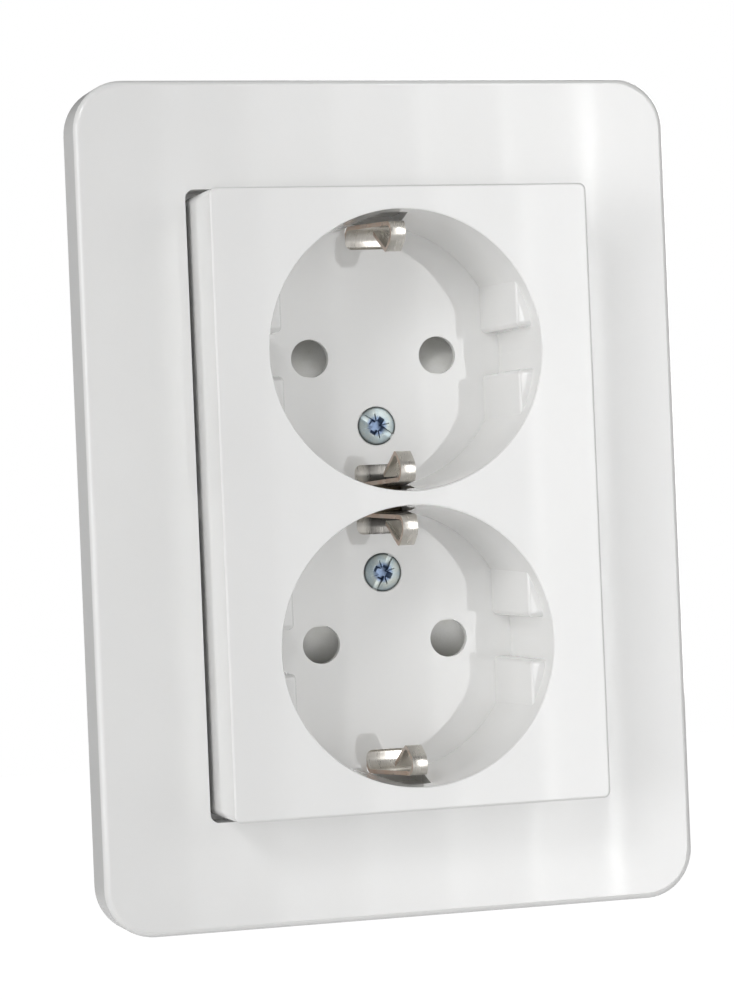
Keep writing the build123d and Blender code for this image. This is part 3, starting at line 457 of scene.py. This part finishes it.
class Finish:
    """A material made of nodes that read the piece's own Object coordinates."""

    def __init__(self, name, roughness, metallic=0.0, ior=1.5):
        self.material = bpy.data.materials.new(name)
        self.material.use_nodes = True
        self.tree = self.material.node_tree
        self.shader = self.tree.nodes["Principled BSDF"]
        self.shader.inputs["Roughness"].default_value = roughness
        self.shader.inputs["Metallic"].default_value = metallic
        self.shader.inputs["IOR"].default_value = ior
        self.coordinates = self.tree.nodes.new("ShaderNodeTexCoord")

    def add(self, kind, links=None, **settings):
        """Add a node, set its settings and link its inputs."""
        node = self.tree.nodes.new(kind)
        for key, value in settings.items():
            setattr(node, key, value)
        for key, value in (links or {}).items():
            socket = node.inputs[key]
            if isinstance(value, bpy.types.NodeSocket):
                self.tree.links.new(value, socket)
            else:
                socket.default_value = value
        return node

    def place(self, stretch=(1.0, 1.0, 1.0), turn=(0.0, 0.0, 0.0)):
        """Object coordinates, stretched and turned."""
        links = {"Vector": self.coordinates.outputs["Object"], "Scale": stretch, "Rotation": turn}
        return self.add("ShaderNodeMapping", links).outputs["Vector"]

    def axis(self, name):
        """One Object coordinate."""
        return self.add("ShaderNodeSeparateXYZ", {"Vector": self.place()}).outputs[name]

    def math(self, operation, *values):
        """A sum, product or other operation on values."""
        links = dict(enumerate(values))
        return self.add("ShaderNodeMath", links, operation=operation).outputs["Value"]

    def noise(self, size, detail=3.0, stretch=(1.0, 1.0, 1.0), turn=(0.0, 0.0, 0.0)):
        """Noise whose features have about the given size in metres."""
        links = {"Vector": self.place(stretch, turn), "Scale": 1.0 / size, "Detail": detail}
        return self.add("ShaderNodeTexNoise", links).outputs["Fac"]

    def range(self, value, low, high, start=0.3, end=0.7):
        """A value spread from one range to another."""
        links = {"Value": value, "From Min": start, "From Max": end, "To Min": low, "To Max": high}
        return self.add("ShaderNodeMapRange", links).outputs["Result"]

    def blend(self, share, first, second, mode="MIX"):
        """Two colours blended by a share."""
        node = self.add("ShaderNodeMix", data_type="RGBA", blend_type=mode)
        for socket, value in ((node.inputs[0], share), (node.inputs[6], first), (node.inputs[7], second)):
            if isinstance(value, bpy.types.NodeSocket):
                self.tree.links.new(value, socket)
            elif socket is node.inputs[0]:
                socket.default_value = value
            else:
                socket.default_value = (*value, 1.0)
        return node.outputs[2]

    def bump(self, height, strength, depth, normal=None):
        """Relief of the given depth in metres."""
        links = {"Height": height, "Strength": strength, "Distance": depth}
        if normal:
            links["Normal"] = normal
        return self.add("ShaderNodeBump", links).outputs["Normal"]

    def set(self, **links):
        """Link or set inputs of the shader; underscores stand for spaces."""
        for key, value in links.items():
            socket = self.shader.inputs[key.replace("_", " ")]
            if isinstance(value, bpy.types.NodeSocket):
                self.tree.links.new(value, socket)
            else:
                socket.default_value = value


def shade(colour, factor):
    """A colour made darker or lighter."""
    return tuple(min(1.0, channel * factor) for channel in colour)


def glossy_cover_plastic(colours):
    """Glossy white moulding: faint flow marks in the colour, a soft polish and a very low swell."""
    finish = Finish("glossy_cover_plastic", 0.05, ior=1.55)
    white = tuple(colours.cover_white)
    flow = finish.noise(18 * MM, detail=2.0, stretch=(1.0, 1.0, 0.6))
    specks = finish.noise(0.9 * MM, detail=4.0)
    tone = finish.blend(finish.range(flow, 0.0, 1.0), shade(white, 0.985), shade(white, 1.012))
    tone = finish.blend(finish.range(specks, 0.0, 0.05), tone, shade(white, 0.93))
    polish = finish.range(finish.noise(3.5 * MM, detail=5.0), 0.035, 0.06)
    swell = finish.bump(finish.noise(7 * MM, detail=1.0), 0.35, 0.02 * MM)
    grain = finish.bump(finish.noise(0.35 * MM, detail=2.0), 0.12, 0.004 * MM, swell)
    finish.set(Base_Color=tone, Roughness=polish, Normal=grain)
    finish.set(Subsurface_Weight=0.1, Subsurface_Scale=1.0 * MM)
    finish.set(Subsurface_Radius=(1.0, 0.95, 0.9))
    return finish.material


def satin_plastic(name, colour, roughness, grain_size=0.25 * MM, grain_depth=0.01 * MM):
    """Satin moulding with a fine eroded grain and slight mottling."""
    finish = Finish(name, roughness, ior=1.5)
    mottle = finish.noise(2.6 * MM, detail=4.0)
    fine = finish.noise(grain_size, detail=3.0)
    tone = finish.blend(finish.range(mottle, 0.0, 1.0), shade(colour, 0.93), shade(colour, 1.06))
    tone = finish.blend(finish.range(fine, 0.0, 0.18), tone, shade(colour, 0.75))
    polish = finish.range(mottle, roughness - 0.05, roughness + 0.08)
    finish.set(Base_Color=tone, Roughness=polish, Normal=finish.bump(fine, 0.5, grain_depth))
    return finish.material


def blue_zinc_plate(colours, name, with_painted_shade):
    """Bright zinc with a blue passivation, straw in places; on the cover screw heads, painted shade darkens the cross
    recess, tinted blue, and a painted shadow rings the rim.
    """
    finish = Finish(name, 0.4, metallic=1.0)
    drift = finish.noise(1.4 * MM, detail=3.0)
    fine = finish.noise(0.12 * MM, detail=4.0)
    tone = finish.blend(
        finish.range(drift, 0.0, 1.0, 0.42, 0.66), tuple(colours.zinc_blue), tuple(colours.zinc_straw)
    )
    tone = finish.blend(finish.range(fine, 0.0, 0.35), tone, shade(colours.zinc_blue, 0.62))
    if with_painted_shade:
        # Painted shade: the cross recess darkened and tinted blue; painted shadow: a dark ring in the gap round the rim
        rise = finish.math("SUBTRACT", finish.math("ABSOLUTE", finish.axis("Z")), SCREW_Z * MM)
        arm = finish.add("ShaderNodeCombineXYZ", {"X": finish.axis("X"), "Y": rise}).outputs["Vector"]
        radius = finish.add("ShaderNodeVectorMath", {0: arm}, operation="LENGTH").outputs["Value"]
        low, high = RECESS_SHADE_RADII
        tone = finish.blend(finish.range(radius, 0.9, 0.0, low * MM, high * MM), tone, RECESS_SHADE_BLUE)
        low, high = RIM_SHADOW_RADII
        tone = finish.blend(finish.range(radius, 0.0, 0.85, low * MM, high * MM), tone, RIM_SHADOW)
    polish = finish.range(fine, 0.36, 0.52)
    finish.set(Base_Color=tone, Roughness=polish, Normal=finish.bump(fine, 0.35, 0.006 * MM))
    return finish.material


def galvanised_sheet(colours):
    """Zinc spangle: flat crystals a few millimetres wide, each with its own tone and polish."""
    finish = Finish("galvanised_sheet", 0.4, metallic=0.9)
    warp = finish.noise(2.2 * MM, detail=2.0)
    cells = finish.add("ShaderNodeTexVoronoi", {"Vector": finish.place(), "Scale": 1.0 / (4.5 * MM)})
    crystal = finish.add("ShaderNodeSeparateColor", {"Color": cells.outputs["Color"]}).outputs["Red"]
    zinc = tuple(colours.sheet_zinc)
    tone = finish.blend(crystal, shade(zinc, 0.82), shade(zinc, 1.14))
    tone = finish.blend(finish.range(warp, 0.0, 0.25), tone, shade(zinc, 0.7))
    polish = finish.range(crystal, 0.32, 0.5, 0.0, 1.0)
    scratches = finish.noise(0.5 * MM, detail=4.0, stretch=(0.05, 1.0, 1.0), turn=(0.0, 0.3, 0.0))
    finish.set(Base_Color=tone, Roughness=polish, Normal=finish.bump(scratches, 0.3, 0.006 * MM))
    return finish.material


def nickel_plate(colours):
    """Nickel-plated strip with rolling lines; the cut edges show the bare copper alloy, and painted shade darkens the
    straps under the middle clips.
    """
    finish = Finish("nickel_plate", 0.3, metallic=0.85)
    lines = finish.noise(0.22 * MM, detail=3.0, stretch=(1.0, 0.06, 0.06))
    cloud = finish.noise(2.4 * MM, detail=4.0)
    nickel = tuple(colours.nickel)
    tone = finish.blend(finish.range(cloud, 0.0, 1.0), shade(nickel, 0.9), shade(nickel, 1.08))
    tone = finish.blend(finish.range(lines, 0.0, 0.25), tone, shade(nickel, 0.7))
    side = finish.add(
        "ShaderNodeSeparateXYZ", {"Vector": finish.coordinates.outputs["Normal"]}
    ).outputs["X"]
    bare = finish.range(finish.math("ABSOLUTE", side), 0.0, 1.0, 0.86, 0.93)
    smeared = finish.math("MULTIPLY", bare, finish.range(cloud, 0.45, 1.0))
    tone = finish.blend(smeared, tone, tuple(colours.copper))
    # Painted shade: the straps are darkened where they pass under the middle clips, standing in for the clips' shade
    # and dark reflection
    deep = [PLATE_LOW.y + depth * MM for depth in SHADE_DEPTH]
    painted_shade = finish.range(finish.axis("Y"), 0.0, 0.85, *deep)
    height = finish.math("ABSOLUTE", finish.axis("Z"))
    near_middle = finish.range(height, 1.0, 0.0, *(place * MM for place in SHADE_HEIGHT))
    right_part = finish.range(finish.axis("X"), 0.0, 1.0, *(place * MM for place in SHADE_X))
    painted_shade = finish.math("MULTIPLY", finish.math("MULTIPLY", painted_shade, near_middle), right_part)
    tone = finish.blend(painted_shade, tone, shade(nickel, 0.07))
    polish = finish.range(lines, 0.24, 0.38)
    finish.set(Base_Color=tone, Roughness=polish, Normal=finish.bump(lines, 0.25, 0.004 * MM))
    return finish.material


def stamped_brass(name, brass):
    """Stamped brass strip, slightly tarnished, with fine rolling lines."""
    finish = Finish(name, 0.3, metallic=1.0)
    lines = finish.noise(0.3 * MM, detail=3.0, stretch=(0.08, 1.0, 0.08))
    tarnish = finish.noise(3.2 * MM, detail=5.0)
    tone = finish.blend(finish.range(tarnish, 0.0, 1.0), shade(brass, 0.78), shade(brass, 1.1))
    tone = finish.blend(finish.range(lines, 0.0, 0.2), tone, shade(brass, 0.6))
    polish = finish.range(tarnish, 0.22, 0.4)
    finish.set(Base_Color=tone, Roughness=polish, Normal=finish.bump(lines, 0.3, 0.005 * MM))
    return finish.material


def bright_spring_steel(colours):
    """Stainless strip and wire, drawn bright."""
    finish = Finish("bright_spring_steel", 0.24, metallic=1.0)
    lines = finish.noise(0.2 * MM, detail=3.0, stretch=(1.0, 1.0, 0.1))
    cloud = finish.noise(1.5 * MM, detail=3.0)
    steel = tuple(colours.spring)
    tone = finish.blend(finish.range(cloud, 0.0, 1.0), shade(steel, 0.88), shade(steel, 1.12))
    tone = finish.blend(finish.range(lines, 0.0, 0.25), tone, shade(steel, 0.7))
    polish = finish.range(lines, 0.16, 0.32)
    finish.set(Base_Color=tone, Roughness=polish, Normal=finish.bump(lines, 0.25, 0.004 * MM))
    return finish.material


def seen_rays(tree):
    """1 for rays straight from the camera, else 0."""
    return tree.nodes.new("ShaderNodeLightPath").outputs["Is Camera Ray"]


def white_paper():
    """Floor of white paper: matt for the light, near white for what the camera sees, with its soft shadow."""
    material = bpy.data.materials.new("white_paper")
    material.use_nodes = True
    tree = material.node_tree
    shader = tree.nodes["Principled BSDF"]
    shader.inputs["Base Color"].default_value = (0.8, 0.8, 0.8, 1.0)
    shader.inputs["Roughness"].default_value = 0.9
    shader.inputs["Specular IOR Level"].default_value = 0.1
    fibre = tree.nodes.new("ShaderNodeTexNoise")
    fibre.inputs["Scale"].default_value = 900.0
    place = tree.nodes.new("ShaderNodeTexCoord")
    tree.links.new(place.outputs["Object"], fibre.inputs["Vector"])
    bump = tree.nodes.new("ShaderNodeBump")
    bump.inputs["Strength"].default_value = 0.1
    bump.inputs["Distance"].default_value = 0.0001
    tree.links.new(fibre.outputs["Fac"], bump.inputs["Height"])
    tree.links.new(bump.outputs["Normal"], shader.inputs["Normal"])
    glow = tree.nodes.new("ShaderNodeEmission")
    glow.inputs["Strength"].default_value = 1.12
    mix = tree.nodes.new("ShaderNodeMixShader")
    share = tree.nodes.new("ShaderNodeMath")
    share.operation = "MULTIPLY"
    share.inputs[1].default_value = 0.9
    tree.links.new(seen_rays(tree), share.inputs[0])
    tree.links.new(share.outputs[0], mix.inputs[0])
    tree.links.new(shader.outputs[0], mix.inputs[1])
    tree.links.new(glow.outputs[0], mix.inputs[2])
    tree.links.new(mix.outputs[0], tree.nodes["Material Output"].inputs["Surface"])
    return material


def light_tent(strength):
    """World: white where it is seen, and an even soft light on everything else."""
    world = bpy.data.worlds.new("light_tent")
    bpy.context.scene.world = world
    world.use_nodes = True
    tree = world.node_tree
    background = tree.nodes["Background"]
    background.inputs["Color"].default_value = (1.0, 1.0, 1.0, 1.0)
    level = tree.nodes.new("ShaderNodeMapRange")
    level.inputs["To Min"].default_value = strength
    level.inputs["To Max"].default_value = 1.0
    tree.links.new(seen_rays(tree), level.inputs["Value"])
    tree.links.new(level.outputs["Result"], background.inputs["Strength"])


def soft_lamp(name, place, target, size, power):
    """Rectangular soft lamp at a place, aimed at a target."""
    begin_piece()
    bpy.ops.object.light_add(type="AREA", location=place)
    lamp = bpy.context.object
    lamp.name = name
    lamp.data.shape = "RECTANGLE"
    lamp.data.size, lamp.data.size_y = size
    lamp.data.energy = power
    lamp.rotation_euler = (Vector(target) - Vector(place)).to_track_quat("-Z", "Y").to_euler()
    return lamp


class SOCKET_OT_covers(bpy.types.Operator):
    """Finish the outer frame and the centre plate"""

    bl_idname = "socket.covers"
    bl_label = "Covers"

    def execute(self, context):
        plastic = glossy_cover_plastic(context.scene.socket_finishes)
        set_material(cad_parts["frame"], plastic)
        set_material(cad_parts["centre_plate"], plastic)
        return {"FINISHED"}


class SOCKET_OT_cover_screws(bpy.types.Operator):
    """Finish the two screws of the centre plate"""

    bl_idname = "socket.cover_screws"
    bl_label = "Cover screws"

    def execute(self, context):
        colours = context.scene.socket_finishes
        zinc = blue_zinc_plate(colours, "blue_zinc_heads", True)
        upper = cover_screw()
        bpy.ops.object.duplicate()
        lower = context.object
        place_piece(upper, (0.0, 0.0, SCREW_Z), SCREW_TURNS[0])
        place_piece(lower, (0.0, 0.0, -SCREW_Z), SCREW_TURNS[1])
        screws = join_pieces(upper, lower)
        finish_piece(screws, "cover_screw_pair", "housing", "blue_zinc", zinc, "cover_screws")
        set_material(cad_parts["rear_cover_screws"], blue_zinc_plate(colours, "blue_zinc_plate", False))
        return {"FINISHED"}


class SOCKET_OT_earth_brackets(bpy.types.Operator):
    """Finish the earth brackets with their folded clips"""

    bl_idname = "socket.earth_brackets"
    bl_label = "Earth brackets"

    def execute(self, context):
        nickel = nickel_plate(context.scene.socket_finishes)
        for place, axis_z in (("upper", SOCKET_Z), ("lower", -SOCKET_Z)):
            strap = earth_strap(axis_z)
            finish_piece(
                strap, f"{place}_earth_strip", "housing", "nickel_plate", nickel, f"{place}_earth_bracket"
            )
        return {"FINISHED"}


class SOCKET_OT_shutters(bpy.types.Operator):
    """Finish the shutters and their springs"""

    bl_idname = "socket.shutters"
    bl_label = "Shutters"

    def execute(self, context):
        colours = context.scene.socket_finishes
        grey = satin_plastic("shutter_plastic", tuple(colours.shutter_grey), 0.32)
        steel = bright_spring_steel(colours)
        for place, side in (("upper", 1), ("lower", -1)):
            set_material(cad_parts[f"{place}_shutter"], grey)
            node = f"{place}_shutter_spring"
            low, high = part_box(node)
            spring = coil_spring((low.y + high.y) / 2 / MM, low.z / MM, high.z / MM)
            finish_piece(spring, f"{place}_coil_spring", "housing", "spring_steel", steel, node)
            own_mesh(spring)
        return {"FINISHED"}


class SOCKET_OT_insert(bpy.types.Operator):
    """Finish the insert housing, its rear cover and the support plate"""

    bl_idname = "socket.insert"
    bl_label = "Insert"

    def execute(self, context):
        colours = context.scene.socket_finishes
        warm = satin_plastic("insert_plastic", tuple(colours.insert_white), 0.5, 0.3 * MM, 0.02 * MM)
        sheet = galvanised_sheet(colours)
        for node, material in (
            ("insert_base", warm), ("rear_cover", warm), ("support_plate", sheet), ("insert_rivets", sheet)
        ):
            set_material(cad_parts[node], material)
        return {"FINISHED"}


class SOCKET_OT_contacts(bpy.types.Operator):
    """Finish the contacts, clamp springs and release buttons"""

    bl_idname = "socket.contacts"
    bl_label = "Contacts"

    def execute(self, context):
        colours = context.scene.socket_finishes
        brass = stamped_brass("stamped_brass", tuple(colours.brass))
        # Brass darkened with painted shade, for the earth bar deep between the straps
        shaded_brass = stamped_brass("shaded_brass", tuple(colours.shaded_brass))
        steel = bright_spring_steel(colours)
        grey = satin_plastic("button_plastic", tuple(colours.button_grey), 0.4)
        for node in ("live_contact_bar", "neutral_contact_bar", "threaded_bushes"):
            set_material(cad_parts[node], brass)
        set_material(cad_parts["earth_bar"], shaded_brass)
        for terminal in ("live", "neutral", "earth"):
            set_material(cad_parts[f"{terminal}_clamp_spring"], steel)
            set_material(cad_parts[f"{terminal}_release_button"], grey)
        return {"FINISHED"}


class SOCKET_OT_studio(bpy.types.Operator):
    """Set up the floor, the lamps and the camera"""

    bl_idname = "socket.studio"
    bl_label = "Studio"

    def execute(self, context):
        studio = context.scene.socket_studio
        scene = context.scene
        scene.view_settings.view_transform = "Standard"
        light_tent(studio.ambient)
        begin_piece()
        floor_z = FRAME_LOW.z - studio.floor_drop
        bpy.ops.mesh.primitive_plane_add(size=6.0, location=(0.0, 0.0, floor_z))
        floor = context.object
        floor.name = "paper_floor"
        set_material(floor, white_paper())
        face = Vector((0.0, PLATE_LOW.y, 0.0))
        for name, place, size, power in LAMPS:
            soft_lamp(name, face + Vector(place), face, size, power)
        for number, (place_x, width, power) in enumerate(GLOSS_STRIPS):
            place = face + Vector((place_x, -GLOSS_AHEAD, 0.0))
            panel = soft_lamp(f"gloss_panel_{number}", place, face, (width, GLOSS_HEIGHT), power)
            panel.visible_diffuse = False
        begin_piece()
        bpy.ops.object.camera_add()
        camera = context.object
        camera.name = "packshot_camera"
        camera.data.lens = studio.lens
        pitch, roll, yaw = studio.camera_turn
        turn = Matrix.Rotation(roll, 3, "Y") @ Matrix.Rotation(pitch, 3, "X") @ Matrix.Rotation(yaw, 3, "Z")
        right, ahead, up = turn
        axes = Matrix((right, up, -ahead)).transposed()
        camera.matrix_world = Matrix.Translation(face + Vector(studio.camera_place)) @ axes.to_4x4()
        scene.camera = camera
        return {"FINISHED"}


class SOCKET_PT_panel(bpy.types.Panel):
    """Buttons for the steps, in the sidebar"""

    bl_idname = "SOCKET_PT_panel"
    bl_label = "Double wall socket"
    bl_space_type = "VIEW_3D"
    bl_region_type = "UI"
    bl_category = "Wall socket"

    def draw(self, context):
        layout = self.layout
        for step in STEPS:
            layout.operator(step.bl_idname)
        for group in (context.scene.socket_finishes, context.scene.socket_studio):
            for name in group.bl_rna.properties.keys():
                if name not in ("rna_type", "name"):
                    layout.prop(group, name)


STEPS = (
    SOCKET_OT_covers,
    SOCKET_OT_cover_screws,
    SOCKET_OT_earth_brackets,
    SOCKET_OT_shutters,
    SOCKET_OT_insert,
    SOCKET_OT_contacts,
    SOCKET_OT_studio,
)
CLASSES = (SocketFinishes, SocketStudio, *STEPS, SOCKET_PT_panel)


def register():
    for item in CLASSES:
        bpy.utils.register_class(item)
    bpy.types.Scene.socket_finishes = bpy.props.PointerProperty(type=SocketFinishes)
    bpy.types.Scene.socket_studio = bpy.props.PointerProperty(type=SocketStudio)


def unregister():
    del bpy.types.Scene.socket_studio
    del bpy.types.Scene.socket_finishes
    for item in reversed(CLASSES):
        bpy.utils.unregister_class(item)


def main():
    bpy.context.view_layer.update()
    register()
    bpy.ops.socket.covers()
    bpy.ops.socket.cover_screws()
    bpy.ops.socket.earth_brackets()
    bpy.ops.socket.shutters()
    bpy.ops.socket.insert()
    bpy.ops.socket.contacts()
    bpy.ops.socket.studio()


if __name__ == "__main__":
    main()
